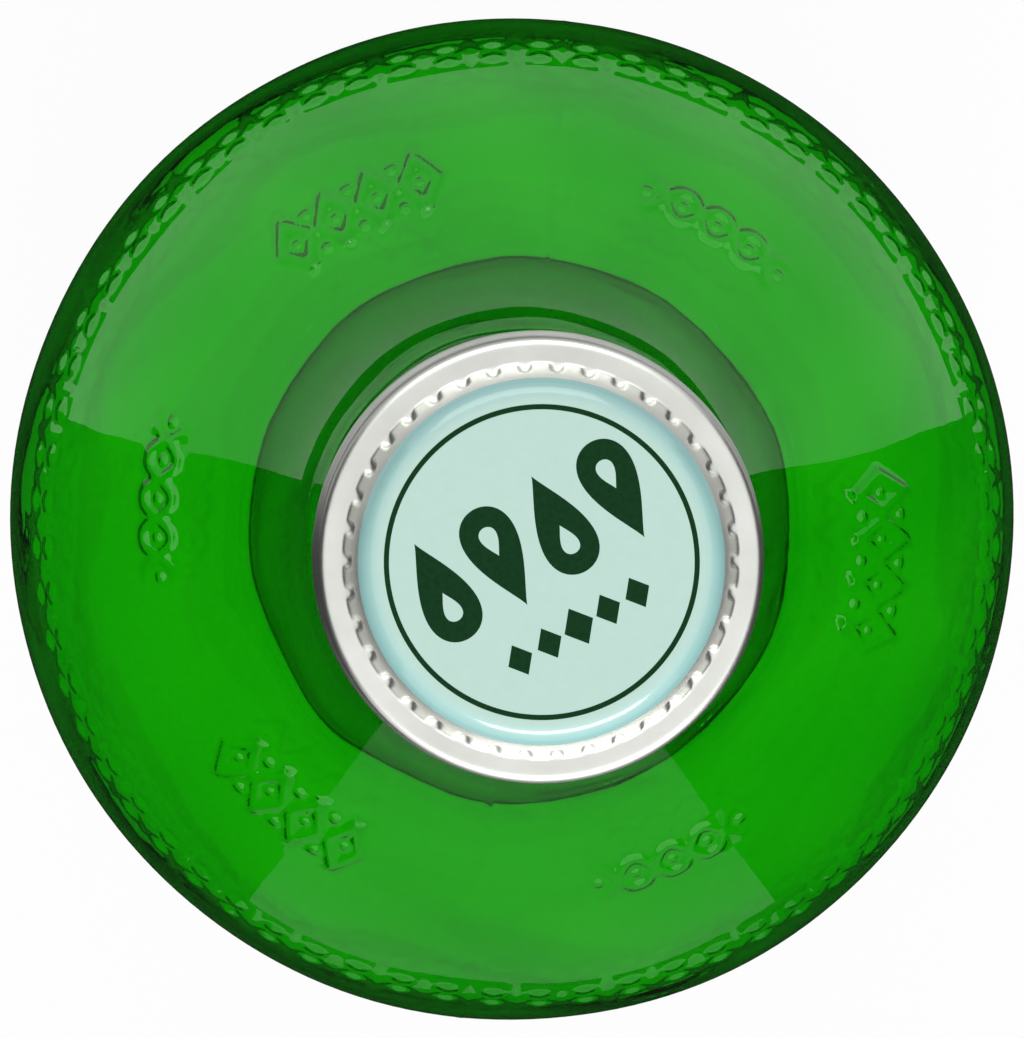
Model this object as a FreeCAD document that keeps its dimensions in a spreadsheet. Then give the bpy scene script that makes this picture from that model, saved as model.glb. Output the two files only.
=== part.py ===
import FreeCAD, Part
import math
import os
import Sketcher

# A half-litre glass bottle of sparkling water, shut with a roll-on aluminium screw cap.
# Millimetres, +Z up along the bottle's axis, origin on the table under the middle of the base.

# Driving dimensions: name, value, meaning.
SIZES = [
    ("total_height", 236, "table to the top of the cap"),
    ("body_radius", 36, "straight body, outside"),
    ("heel_radius", 6.5, "outer rounding from the body to the base"),
    ("bearing_width", 3.5, "flat ring that the bottle stands on"),
    ("punt_height", 6, "rise of the pushed-up base in its middle"),
    ("glass_wall", 2.8, "wall of body, shoulder and neck"),
    ("floor_thickness", 4.5, "glass in the middle of the base"),
    ("floor_fillet", 7, "inner rounding from the floor to the wall"),
    ("shoulder_lean", 36, "degrees that the shoulder's straight flank leans from upright"),
    ("shoulder_share", 0.47, "part of the shoulder's width that curves outward from the body"),
    ("sweep_share", 0.277, "part of the shoulder's width that sweeps into the neck"),
    ("neck_length", 56, "rim to the foot of the straight neck"),
    ("neck_radius", 13.6, "straight neck, outside"),
    ("bead_height", 3.2, "transfer bead below the cap"),
    ("bead_proud", 0.55, "how far the transfer bead stands out of the neck"),
    ("bead_clearance", 1.25, "transfer bead to the cap's lower edge"),
    ("bead_slope", 0.7, "height of the slope from the transfer bead to the groove above it"),
    ("bore_radius", 9.1, "mouth of the bottle"),
    ("bore_round", 0.35, "inner edge of the rim"),
    ("bore_depth", 16, "length of the straight mouth"),
    ("bore_taper", 12, "length over which the mouth widens to the neck"),
    ("lip_wall", 1.6, "glass round the mouth, inside the cap's top"),
    ("lip_flare", 1.3, "height of the slope from the lip to the thread root"),
    ("root_wall", 3, "glass round the mouth, between the threads"),
    ("locking_proud", 1.2, "ring that holds the tamper band, beyond the thread root"),
    ("locking_drop", 14.4, "rim to the lower face of the locking ring"),
    ("locking_face", 0.6, "upright edge of the locking ring"),
    ("locking_slope", 1.3, "height of the locking ring's slanted upper face"),
    ("locking_undercut", 0.3, "height of the slope below the locking ring"),
    ("tuck_depth", 1, "groove under the locking ring"),
    ("fill_rise", 8, "foot of the straight neck to the surface of the water"),
    ("water_gap", 0.2, "clearance of the water's solid to the glass"),
    ("gauge", 0.25, "thickness of the cap's sheet"),
    ("seat_clearance", 0.28, "cap to the lip, sideways"),
    ("rim_clearance", 0.15, "flat rim to the start of the cap's rounded edge"),
    ("step_clearance", 0.26, "cap's step to the start of the lip's slope"),
    ("corner_round", 1.6, "rounded edge of the cap's top"),
    ("knurl_slope", 20, "degrees that the knurled wall leans from upright"),
    ("knurl_length", 2.65, "knurled wall along its slope"),
    ("knurl_depth", 0.25, "depth of a knurl"),
    ("knurl_groove", 0.85, "radius of the round grooves between the knurls"),
    ("knurl_land", 0.18, "plain strip left below the knurls"),
    ("knurl_count", 38, "knurls round the cap"),
    ("thread_room", 1.6, "thread root to the skirt, inside"),
    ("step_round", 0.95, "rounded edge of the step between top and skirt"),
    ("slit_rise", 0.3, "locking ring to the slits"),
    ("slit_height", 0.35, "height of a slit"),
    ("slit_overcut", 0.5, "how far the slit's cutter passes the sheet"),
    ("bridge_count", 8, "bridges that hold the tamper band"),
    ("bridge_angle", 9, "degrees that one bridge takes"),
    ("band_clearance", 0.75, "locking ring to the tamper band"),
    ("band_land", 0.35, "plain strip between the slits and the band's widening"),
    ("band_flare", 0.5, "height over which the skirt widens to the band"),
    ("band_reach", 1.55, "locking ring to the band's tucked edge"),
    ("band_round", 1.1, "edge of the band, rolled in under the locking ring"),
]


class Size:
    """A length, angle or count: its value, and the expression that ties it to the sheet."""

    def __init__(self, text, value):
        self.text = text
        self.value = value

    def __add__(self, other):
        other = as_size(other)
        return Size(f"({self.text} + {other.text})", self.value + other.value)

    def __sub__(self, other):
        other = as_size(other)
        return Size(f"({self.text} - {other.text})", self.value - other.value)

    def __mul__(self, other):
        other = as_size(other)
        return Size(f"({self.text} * {other.text})", self.value * other.value)

    def __truediv__(self, other):
        other = as_size(other)
        return Size(f"({self.text} / {other.text})", self.value / other.value)

    def __rsub__(self, other):
        return as_size(other) - self


def as_size(number):
    return number if isinstance(number, Size) else Size(str(number), number)


def sine(angle):
    return Size(f"sin({angle.text} * 1 deg)", math.sin(math.radians(angle.value)))


def cosine(angle):
    return Size(f"cos({angle.text} * 1 deg)", math.cos(math.radians(angle.value)))


def hypotenuse_side(hypotenuse, side):
    """The third side of a right-angled triangle."""
    square = hypotenuse * hypotenuse - side * side
    return Size(f"sqrt({square.text})", math.sqrt(square.value))


doc = FreeCAD.newDocument("SparklingWaterBottle")
sheet = doc.addObject("Spreadsheet::Sheet", "Sizes")
named = {}
for row, (alias, number, meaning) in enumerate(SIZES, start=1):
    sheet.set(f"A{row}", alias)
    sheet.set(f"B{row}", str(number))
    sheet.set(f"C{row}", meaning)
    sheet.setAlias(f"B{row}", alias)
    named[alias] = Size(f"Sizes.{alias}", number)
doc.recompute()


def size(alias):
    return named[alias]


def origin_part(body, role):
    """One of the body's own planes or axes."""
    return next(part for part in body.Origin.OriginFeatures if part.Role == role)


def new_body(name):
    body = doc.addObject("PartDesign::Body", name)
    body.Label = name
    return body


def section_sketch(body, name):
    """A sketch on the body's upright plane: x is the radius and y the height."""
    sketch = body.newObject("Sketcher::SketchObject", name)
    sketch.AttachmentSupport = (origin_part(body, "XZ_Plane"), [""])
    sketch.MapMode = "FlatFace"
    return sketch


def arc_geometry(start, end, radius, centre_side):
    """The shorter arc from start to end, its centre left (+1) or right (-1) of the way."""
    across = (end[0] - start[0], end[1] - start[1])
    chord = math.hypot(*across)
    rise = math.sqrt(max(radius ** 2 - (chord / 2) ** 2, 0)) * centre_side / chord
    centre = FreeCAD.Vector(
        (start[0] + end[0]) / 2 - across[1] * rise,
        (start[1] + end[1]) / 2 + across[0] * rise,
        0,
    )
    angles = [math.atan2(point[1] - centre.y, point[0] - centre.x) for point in (start, end)]
    if centre_side < 0:
        angles.reverse()
    circle = Part.Circle(centre, FreeCAD.Vector(0, 0, 1), radius)
    return Part.ArcOfCircle(circle, angles[0], angles[1])


def draw_section(sketch, corners):
    """Closes a section through corners (radius, height), or (radius, height, arc radius, side).

    An arc radius belongs to the stretch that ends in its corner. Each corner's place and each
    arc's radius is tied to the sheet.
    """
    vector = FreeCAD.Vector
    joints = []
    for index, corner in enumerate(corners):
        before = corners[index - 1]
        start = (before[0].value, before[1].value)
        end = (corner[0].value, corner[1].value)
        if len(corner) == 2:
            edge = sketch.addGeometry(Part.LineSegment(vector(*start, 0), vector(*end, 0)), False)
            joints.append((edge, 1, 2))
            continue
        radius, centre_side = corner[2], corner[3]
        edge = sketch.addGeometry(arc_geometry(start, end, radius.value, centre_side), False)
        joints.append((edge, 1, 2) if centre_side > 0 else (edge, 2, 1))
    for index, corner in enumerate(corners):
        edge, first, last = joints[index]
        following = joints[(index + 1) % len(joints)]
        sketch.addConstraint(Sketcher.Constraint("Coincident", edge, last, following[0], following[1]))
        for kind, place in (("DistanceX", corner[0]), ("DistanceY", corner[1])):
            number = sketch.addConstraint(Sketcher.Constraint(kind, -1, 1, edge, last, place.value))
            sketch.setExpression(f"Constraints[{number}]", place.text)
        if len(corner) > 2:
            number = sketch.addConstraint(Sketcher.Constraint("Radius", edge, corner[2].value))
            sketch.setExpression(f"Constraints[{number}]", corner[2].text)


def revolve(body, name, corners):
    """A solid of revolution about the bottle's axis."""
    sketch = section_sketch(body, f"{name}_section")
    draw_section(sketch, corners)
    turned = body.newObject("PartDesign::Revolution", name)
    turned.Profile = sketch
    turned.ReferenceAxis = (sketch, ["V_Axis"])
    turned.Angle = 360
    sketch.Visibility = False
    doc.recompute()
    return turned


def repeat_round(body, name, feature, count):
    """The feature repeated evenly round the bottle's axis."""
    pattern = body.newObject("PartDesign::PolarPattern", name)
    pattern.Originals = [feature]
    pattern.Axis = (origin_part(body, "Z_Axis"), [""])
    pattern.Angle = 360
    pattern.setExpression("Occurrences", count.text)
    body.Tip = pattern
    doc.recompute()
    return pattern


axis = as_size(0)
table = as_size(0)
cap_top = size("total_height")
rim = cap_top - size("gauge")

# The shoulder curves out of the body, runs up a straight flank and sweeps into the neck. Both
# arcs turn through the flank's lean and take their share of the shoulder's width.
shoulder_turn = size("shoulder_lean")
shoulder_step = size("body_radius") - size("neck_radius")
shoulder_radius = shoulder_step * size("shoulder_share") / (1 - cosine(shoulder_turn))
sweep_radius = shoulder_step * size("sweep_share") / (1 - cosine(shoulder_turn))
flank_width = shoulder_step * (1 - size("shoulder_share") - size("sweep_share"))
flank_rise = flank_width * cosine(shoulder_turn) / sine(shoulder_turn)
shoulder_top = rim - size("neck_length")
shoulder_foot = shoulder_top - (shoulder_radius + sweep_radius) * sine(shoulder_turn) - flank_rise

# The pushed-up base is part of a sphere that meets the ring that the bottle stands on.
bearing_outer = size("body_radius") - size("heel_radius")
bearing_inner = bearing_outer - size("bearing_width")
punt_sphere = (bearing_inner * bearing_inner / size("punt_height") + size("punt_height")) / 2
punt_centre = size("punt_height") - punt_sphere

# The finish: what the cap grips, from the mouth outward.
lip_radius = size("bore_radius") + size("lip_wall")
root_radius = size("bore_radius") + size("root_wall")
locking_radius = root_radius + size("locking_proud")
tuck_radius = locking_radius - size("tuck_depth")
locking_foot = rim - size("locking_drop")
locking_top = locking_foot + size("locking_face") + size("locking_slope")
bore_foot = rim - size("bore_depth")

# The cap's knurled wall clears the lip and leans outward, from the rounded edge of the top
# to the step.
lean = size("knurl_slope")
knurl_wall = size("gauge") + size("knurl_depth")
knurl_head = (
    lip_radius + size("seat_clearance") + knurl_wall * cosine(lean),
    cap_top - size("corner_round") + size("corner_round") * sine(lean),
)
knurl_foot = (
    knurl_head[0] + size("knurl_length") * sine(lean),
    knurl_head[1] - size("knurl_length") * cosine(lean),
)
panel_radius = knurl_head[0] - size("corner_round") * cosine(lean)

# The skirt clears the thread and the tamper band clears the locking ring.
skirt_radius = root_radius + size("thread_room") + size("gauge")
band_radius = locking_radius + size("band_clearance") + size("gauge")
slit_foot = locking_top + size("slit_rise")
band_top = slit_foot - size("band_land") - size("band_flare")
cap_foot = locking_foot - size("band_reach")

# What the cap leaves for the lip above its thread and for the transfer bead below its edge.
lip_round = lip_radius - panel_radius + size("rim_clearance")
lip_foot = knurl_foot[1] - size("gauge") - size("step_clearance")
bead_top = cap_foot - size("bead_clearance")
bead_foot = bead_top - size("bead_height")
bead_half = size("bead_height") / 2
bead_arc = (bead_half * bead_half / size("bead_proud") + size("bead_proud")) / 2


def shoulder(inset):
    """Arc, straight flank and sweep from the body to the neck, this far inside the outer glass."""
    bend = shoulder_radius - inset
    sweep = sweep_radius + inset
    flank_foot = (
        size("body_radius") - shoulder_radius + bend * cosine(shoulder_turn),
        shoulder_foot + bend * sine(shoulder_turn),
    )
    flank_head = (
        size("neck_radius") + sweep_radius - sweep * cosine(shoulder_turn),
        shoulder_top - sweep * sine(shoulder_turn),
    )
    return [
        (*flank_foot, bend, 1),
        flank_head,
        (size("neck_radius") - inset, shoulder_top, sweep, -1),
    ]


def cavity_floor(inset):
    """The inside's dome and the rounding to the wall: from the axis up to the straight wall."""
    dome = punt_sphere + size("floor_thickness") + inset
    fillet = size("floor_fillet") - inset
    fillet_middle = size("body_radius") - size("glass_wall") - size("floor_fillet")
    together = dome + fillet
    fillet_rise = hypotenuse_side(together, fillet_middle)
    meeting = (fillet_middle * dome / together, punt_centre + fillet_rise * dome / together)
    wall = (fillet_middle + fillet, punt_centre + fillet_rise)
    return [
        (axis, punt_centre + dome),
        (*meeting, dome, -1),
        (*wall, fillet, 1),
    ]


def cavity_side(inset):
    """The inside's wall, shoulder and sweep up to the straight neck, left of the way up."""
    depth = size("glass_wall") + inset
    return [
        (size("body_radius") - depth, shoulder_foot),
        *shoulder(depth),
    ]


def downwards(corners):
    """The same stretch of section, from its last corner to its first."""
    back = [corners[-1][:2]]
    for index in range(len(corners) - 1, 0, -1):
        place, stretch = corners[index - 1], corners[index]
        if len(stretch) == 2:
            back.append(place[:2])
        else:
            back.append((*place[:2], stretch[2], -stretch[3]))
    return back


def make_bottle_glass():
    """The hollow bottle: base, body, shoulder, neck and the finish that the cap sits on."""
    outside = [
        (axis, size("punt_height")),
        (bearing_inner, table, punt_sphere, -1),
        (bearing_outer, table),
        (size("body_radius"), size("heel_radius"), size("heel_radius"), 1),
        (size("body_radius"), shoulder_foot),
        *shoulder(axis),
        (size("neck_radius"), bead_foot),
        (size("neck_radius"), bead_top, bead_arc, 1),
        (tuck_radius, bead_top + size("bead_slope")),
        (tuck_radius, locking_foot - size("locking_undercut")),
        (locking_radius, locking_foot),
        (locking_radius, locking_foot + size("locking_face")),
        (root_radius, locking_top),
        (root_radius, lip_foot - size("lip_flare")),
        (lip_radius, lip_foot),
        (lip_radius, rim - lip_round),
        (lip_radius - lip_round, rim, lip_round, 1),
    ]
    mouth = [
        (size("bore_radius") + size("bore_round"), rim),
        (size("bore_radius"), rim - size("bore_round"), size("bore_round"), 1),
        (size("bore_radius"), bore_foot),
        (size("neck_radius") - size("glass_wall"), bore_foot - size("bore_taper")),
    ]
    inside = downwards(cavity_floor(axis) + cavity_side(axis))
    body = new_body("bottle_glass")
    revolve(body, "bottle_blank", outside + mouth + inside)
    return body


def make_water():
    """The water, up to its level in the neck."""
    gap = size("water_gap")
    level = shoulder_top + size("fill_rise")
    surface = [
        (size("neck_radius") - size("glass_wall") - gap, level),
        (axis, level),
    ]
    body = new_body("water")
    revolve(body, "water_fill", cavity_floor(gap) + cavity_side(gap) + surface)
    return body


def behind_knurls(place, depth):
    """A place on the knurled wall, moved into the sheet by depth."""
    return place[0] - depth * cosine(lean), place[1] - depth * sine(lean)


def make_screw_cap():
    """The drawn cap: panel, knurled wall, step, skirt and the tamper band below its slits."""
    gauge = size("gauge")
    step_middle = skirt_radius - size("step_round")
    skirt_head = knurl_foot[1] - size("step_round")
    band_roll = cap_foot + size("band_round")
    rolled_edge = band_radius - size("band_round")
    outside = [
        (axis, cap_top),
        (panel_radius, cap_top),
        (*knurl_head, size("corner_round"), -1),
        knurl_foot,
        (step_middle, knurl_foot[1]),
        (skirt_radius, skirt_head, size("step_round"), -1),
        (skirt_radius, band_top + size("band_flare")),
        (band_radius, band_top),
        (band_radius, band_roll),
        (rolled_edge, cap_foot, size("band_round"), -1),
    ]
    inside = [
        (rolled_edge, cap_foot + gauge),
        (band_radius - gauge, band_roll, size("band_round") - gauge, 1),
        (band_radius - gauge, band_top),
        (skirt_radius - gauge, band_top + size("band_flare")),
        (skirt_radius - gauge, skirt_head),
        (step_middle, knurl_foot[1] - gauge, size("step_round") - gauge, 1),
        (behind_knurls(knurl_foot, knurl_wall)[0], knurl_foot[1] - gauge),
        behind_knurls(knurl_foot, knurl_wall),
        behind_knurls(knurl_head, knurl_wall),
        behind_knurls(knurl_head, gauge),
        (panel_radius, cap_top - gauge, size("corner_round") - gauge, 1),
        (axis, cap_top - gauge),
    ]
    body = new_body("screw_cap")
    revolve(body, "drawn_shell", outside + inside)
    cut_knurls(body)
    cut_slits(body)
    return body


def cut_knurls(body):
    """Round grooves down the leaning wall, which leave the knurls standing between them."""
    above = behind_knurls(knurl_foot, size("knurl_depth") - size("knurl_groove"))
    start = (
        above[0] - size("knurl_land") * sine(lean),
        above[1] + size("knurl_land") * cosine(lean),
    )
    groove = body.newObject("PartDesign::SubtractiveCylinder", "knurl_groove")
    groove.AttachmentSupport = (origin_part(body, "XY_Plane"), [""])
    groove.MapMode = "FlatFace"
    groove.AttachmentOffset = FreeCAD.Placement(
        FreeCAD.Vector(start[0].value, 0, start[1].value),
        FreeCAD.Rotation(FreeCAD.Vector(0, -1, 0), lean.value),
    )
    groove.setExpression("AttachmentOffset.Base.x", start[0].text)
    groove.setExpression("AttachmentOffset.Base.z", start[1].text)
    groove.setExpression("AttachmentOffset.Rotation.Angle", lean.text)
    groove.setExpression("Radius", size("knurl_groove").text)
    groove.setExpression("Height", (size("knurl_length") + size("corner_round")).text)
    doc.recompute()
    repeat_round(body, "knurls", groove, size("knurl_count"))


def cut_slits(body):
    """Slits through the sheet above the tamper band, with a bridge left between each two."""
    sketch = section_sketch(body, "slit_section")
    inner_side = skirt_radius - size("gauge") - size("slit_overcut")
    outer_side = skirt_radius + size("slit_overcut")
    draw_section(sketch, [
        (inner_side, slit_foot),
        (outer_side, slit_foot),
        (outer_side, slit_foot + size("slit_height")),
        (inner_side, slit_foot + size("slit_height")),
    ])
    slit = body.newObject("PartDesign::Groove", "slit")
    slit.Profile = sketch
    slit.ReferenceAxis = (sketch, ["V_Axis"])
    slit.setExpression("Angle", (360 - size("bridge_count") * size("bridge_angle")).text
                       + f" / {size('bridge_count').text}")
    sketch.Visibility = False
    doc.recompute()
    repeat_round(body, "slits", slit, size("bridge_count"))


def check_solids(objects):
    """Stops if any object of the document failed, or a sub-part is no single valid solid."""
    for thing in doc.Objects:
        if {"Invalid", "Error"} & set(thing.State):
            raise RuntimeError(f"{thing.Name} failed: {thing.State}")
    for thing in objects:
        shape = thing.Shape
        if shape.isNull() or not shape.isValid() or len(shape.Solids) != 1:
            raise RuntimeError(f"{thing.Label} is not one valid solid")


parts = [make_bottle_glass(), make_water(), make_screw_cap()]
doc.recompute()
check_solids(parts)
os.makedirs("parts", exist_ok=True)
for part in parts:
    part.Shape.exportStep(os.path.join("parts", f"{part.Label}.step"))
    box = part.Shape.optimalBoundingBox()
    print(f"{part.Label}: {part.Shape.Volume / 1000:.1f} ml, {len(part.Shape.Faces)} faces, "
          f"z {box.ZMin:.2f} to {box.ZMax:.2f}, width {box.XLength:.2f}")
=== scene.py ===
# %% [markdown]
# # A bottle of sparkling water
# The object is a half-litre bottle of green glass, full of clear water and shut with a roll-on
# aluminium cap. The CAD model gives the sizes and stays as a fixed frame. This lesson turns the
# section of each part into a finer mesh and gives it the finish of the real material.

# %% Load the frame
import math

import bmesh
import bpy
import numpy as np
from mathutils import Matrix, Vector


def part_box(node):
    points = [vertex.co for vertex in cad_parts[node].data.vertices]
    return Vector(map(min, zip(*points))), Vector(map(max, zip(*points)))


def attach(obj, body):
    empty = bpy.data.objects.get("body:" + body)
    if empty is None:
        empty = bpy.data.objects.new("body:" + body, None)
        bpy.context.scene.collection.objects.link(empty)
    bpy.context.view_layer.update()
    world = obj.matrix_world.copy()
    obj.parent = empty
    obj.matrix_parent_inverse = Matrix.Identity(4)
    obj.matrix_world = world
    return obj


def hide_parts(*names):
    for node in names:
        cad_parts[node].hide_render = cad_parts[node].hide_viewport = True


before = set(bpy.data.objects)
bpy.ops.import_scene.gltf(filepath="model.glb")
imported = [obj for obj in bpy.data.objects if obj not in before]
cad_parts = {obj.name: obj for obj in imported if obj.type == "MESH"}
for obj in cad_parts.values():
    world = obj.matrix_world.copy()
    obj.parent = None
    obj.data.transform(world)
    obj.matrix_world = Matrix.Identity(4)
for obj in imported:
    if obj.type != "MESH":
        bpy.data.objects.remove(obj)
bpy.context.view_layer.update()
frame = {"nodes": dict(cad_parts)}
MM = 0.001
print("nodes:", ", ".join(frame["nodes"]))

# %% [markdown]
# ## Measures
# Places come from the boxes of the CAD parts, in millimetres. The radii and lengths below are
# those that a bottle maker writes on the drawing, and they repeat what the CAD model was made
# with, because a box alone doesn't tell how a shoulder curves.

# %% Places from the boxes
glass_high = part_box("bottle_glass")[1]
water_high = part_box("water")[1]
cap_low, cap_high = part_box("screw_cap")
body_radius = glass_high[0] / MM
rim = glass_high[2] / MM
level = water_high[2] / MM
cap_top = cap_high[2] / MM
cap_foot = cap_low[2] / MM
band_radius = cap_high[0] / MM
print(f"body {body_radius:.1f}, rim {rim:.2f}, water to {level:.2f}, cap {cap_foot:.2f} to {cap_top:.2f}")

# %% Drawing sizes of the bottle
heel_radius = 6.5
bearing_width = 3.5
punt_height = 6.0
wall = 2.8
floor_thickness = 4.5
floor_fillet = 7.0
neck_radius = 13.6
neck_length = 56.0
shoulder_turn = math.radians(36)
shoulder_width = body_radius - neck_radius
bend_share = 0.47
sweep_share = 0.277
bend_radius = bend_share * shoulder_width / (1 - math.cos(shoulder_turn))
sweep_radius = sweep_share * shoulder_width / (1 - math.cos(shoulder_turn))
flank = (1 - bend_share - sweep_share) * shoulder_width / math.sin(shoulder_turn)
shoulder_top = rim - neck_length
arcs_rise = (bend_radius + sweep_radius) * math.sin(shoulder_turn)
shoulder_foot = shoulder_top - arcs_rise - flank * math.cos(shoulder_turn)
print(f"shoulder from {shoulder_foot:.1f} to {shoulder_top:.1f}, flank {flank:.1f} long")

# %% Drawing sizes of the finish and the cap
bore_radius = 9.1
root_radius = 12.1
lip_radius = 10.7
locking_radius = 13.3
tuck_radius = 12.3
locking_foot = rim - 14.4
locking_flat = 0.6
locking_slope = 1.3
bore_round = 0.35
bore_foot = rim - 16
bore_taper_foot = rim - 28
bead_half = 1.6
bead_stands = 0.55
thread_room = 1.6
knurl_length = 2.65
gauge = 0.25
corner_round = 1.6
knurl_lean = math.radians(20)
knurl_count = 38
skirt_radius = root_radius + thread_room + gauge
knurl_head = (11.45, cap_top - corner_round + corner_round * math.sin(knurl_lean))
knurl_foot = (
    knurl_head[0] + knurl_length * math.sin(knurl_lean),
    knurl_head[1] - knurl_length * math.cos(knurl_lean),
)
panel_radius = knurl_head[0] - corner_round * math.cos(knurl_lean)
print(f"panel radius {panel_radius:.2f}, knurls down to {knurl_foot[1]:.2f}, skirt {skirt_radius:.2f}")

# %% [markdown]
# ## Sections
# Every part here is turned about one axis, so its section is drawn once as points (radius,
# height). A curve is divided by length and not by angle, so that the mesh has the same grain
# everywhere.

# %% Section helpers
def arc(centre, radius, start, end, step):
    """Points of an arc, angles in degrees from the outward direction."""
    count = max(2, math.ceil(abs(math.radians(end - start)) * radius / step))
    turn = np.radians(np.linspace(start, end, count + 1))
    return np.column_stack([centre[0] + radius * np.cos(turn), centre[1] + radius * np.sin(turn)])


def line(start, end, step):
    """Points of a straight stretch."""
    count = max(1, math.ceil(math.dist(start, end) / step))
    return np.linspace(start, end, count + 1)


def chain(*stretches):
    """One run of points, with the points that two stretches share taken once."""
    run = [np.asarray(stretches[0], float)]
    for stretch in stretches[1:]:
        stretch = np.asarray(stretch, float)
        same = np.allclose(stretch[0], run[-1][-1], atol=1e-4)
        run.append(stretch[1:] if same else stretch)
    return np.vstack(run)


def outward(run):
    """The direction out of the material at each point of a section, right of the way."""
    way = np.gradient(run, axis=0)
    way /= np.linalg.norm(way, axis=1, keepdims=True)
    return np.column_stack([way[:, 1], -way[:, 0]])


# %% [markdown]
# ## Rings into a mesh
# A turned mesh is a stack of rings. Relief needs many points round the bottle and a plain wall
# needs few, so two neighbouring rings may differ: the finer one has a whole number of times the
# points, and the faces between them close the step. A ring of one point is a pole on the axis.

# %% Turned mesh
def faces_between(low, low_count, high, high_count):
    """Faces between two rings, given where each starts and how many points it has."""
    count = max(low_count, high_count)
    faces = []
    for step in range(count):
        corners = []
        for first, ring in ((low, low_count), (high, high_count)):
            here = first + step * ring // count
            there = first + ((step + 1) * ring // count) % ring
            corners.append((here, there))
        (low_here, low_there), (high_here, high_there) = corners
        face = list(dict.fromkeys((low_here, low_there, high_there, high_here)))
        faces.append(face)
    return faces


def turned_mesh(name, rings):
    """An object from rings (angles, radii, heights) in millimetres. Returns it and face rows."""
    points = []
    starts = []
    for angles, radii, heights in rings:
        starts.append(sum(len(part) for part in points))
        x = radii * np.cos(angles)
        y = radii * np.sin(angles)
        points.append(np.column_stack([x, y, heights + 0 * angles]))
    faces = []
    face_rows = []
    for row, following in zip(range(len(rings)), range(1, len(rings))):
        new = faces_between(
            starts[row], len(rings[row][0]), starts[following], len(rings[following][0])
        )
        faces += new
        face_rows += [row] * len(new)
    mesh = bpy.data.meshes.new(name)
    mesh.from_pydata((np.vstack(points) * MM).tolist(), [], faces)
    mesh.shade_smooth()
    mesh.update()
    piece = bpy.data.objects.new(name, mesh)
    bpy.context.scene.collection.objects.link(piece)
    return piece, np.array(face_rows)


def round_angles(count):
    return np.linspace(0, 2 * math.pi, count, endpoint=False)


# %% [markdown]
# ## The bottle's outside
# The gob is blown in two half moulds. That leaves a hair of a seam on two sides, a faint
# unevenness all over and, on this bottle, relief cut into the moulds: six ornaments on the
# flank of the shoulder and a running border round its lower edge. Relief and seams are real
# geometry, because glass shows them by bending what lies behind.

# %% Shoulder curve
bend_end = bend_radius * shoulder_turn
sweep_start = bend_end + flank
shoulder_length = sweep_start + sweep_radius * shoulder_turn


def shoulder_point(along, inset=0.0):
    """A place on the shoulder, from its length along the outer curve, inset into the glass."""
    if along < bend_end:
        lean = along / bend_radius
        radius = body_radius - bend_radius + bend_radius * math.cos(lean)
        height = shoulder_foot + bend_radius * math.sin(lean)
    else:
        past = min(along, sweep_start) - bend_end
        radius = body_radius - bend_radius * (1 - math.cos(shoulder_turn))
        radius -= past * math.sin(shoulder_turn)
        height = shoulder_foot + bend_radius * math.sin(shoulder_turn)
        height += past * math.cos(shoulder_turn)
        lean = shoulder_turn
    if along > sweep_start:
        lean = shoulder_turn - (along - sweep_start) / sweep_radius
        radius = neck_radius + sweep_radius * (1 - math.cos(lean))
        height = shoulder_top - sweep_radius * math.sin(lean)
    return radius - inset * math.cos(lean), height - inset * math.sin(lean)


print(f"shoulder curve {shoulder_length:.1f} long")

# %% Angles round the glass
seam_turns = np.radians([-96.0, 84.0])
seam_offsets = np.radians([-1.1, -0.6, -0.35, -0.17, 0, 0.17, 0.35, 0.6, 1.1])
plain_turns = [
    angle for angle in round_angles(180)
    if min(abs((angle - seam + math.pi) % (2 * math.pi) - math.pi) for seam in seam_turns)
    > math.radians(1.6)
]
seam_points = (seam_turns[:, None] + seam_offsets[None, :]).ravel() % (2 * math.pi)
coarse = np.sort(np.concatenate([plain_turns, seam_points]))
FINE = 4
gaps = np.diff(np.append(coarse, coarse[0] + 2 * math.pi))
fine = (coarse[:, None] + gaps[:, None] * np.arange(FINE)[None, :] / FINE).ravel()
print(f"{len(coarse)} points round the plain glass, {len(fine)} round the relief")

# %% Unevenness of blown glass
def unevenness(angles, height, seed, waves):
    """Slow random waves over the wall, about one unit high."""
    random = np.random.default_rng(seed)
    total = np.zeros_like(angles)
    for _ in range(waves):
        round_count = random.integers(1, 12)
        length = random.uniform(18, 90)
        phase, shift = random.uniform(0, 2 * math.pi, 2)
        wave = np.sin(round_count * angles + phase + 2 * math.pi * height / length)
        total += wave * math.sin(2 * math.pi * height / (length * 1.7) + shift)
    return total / math.sqrt(waves / 4)


# %% Strokes of relief
def ridge(distance, width):
    """Height of a soft stroke, 1 in its middle and 0 beyond its width."""
    return np.cos(np.clip(distance / width, -1, 1) * math.pi / 2) ** 2


def lozenge(x, y, wide, high):
    """Distance-like measure from a lozenge's outline."""
    return (np.abs(x) / wide + np.abs(y) / high - 1) * wide * 0.8


# %% Ornaments on the flank
ornament_middle = 35.4
ornament_half = 2.75
ornament_stands = 0.18
plait_swing = 1.7
plait_length = 5.4
ornament_turns = np.radians([117, 57, -5, -65, -130, 175])
ornament_radius = shoulder_point(ornament_middle)[0]


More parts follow.
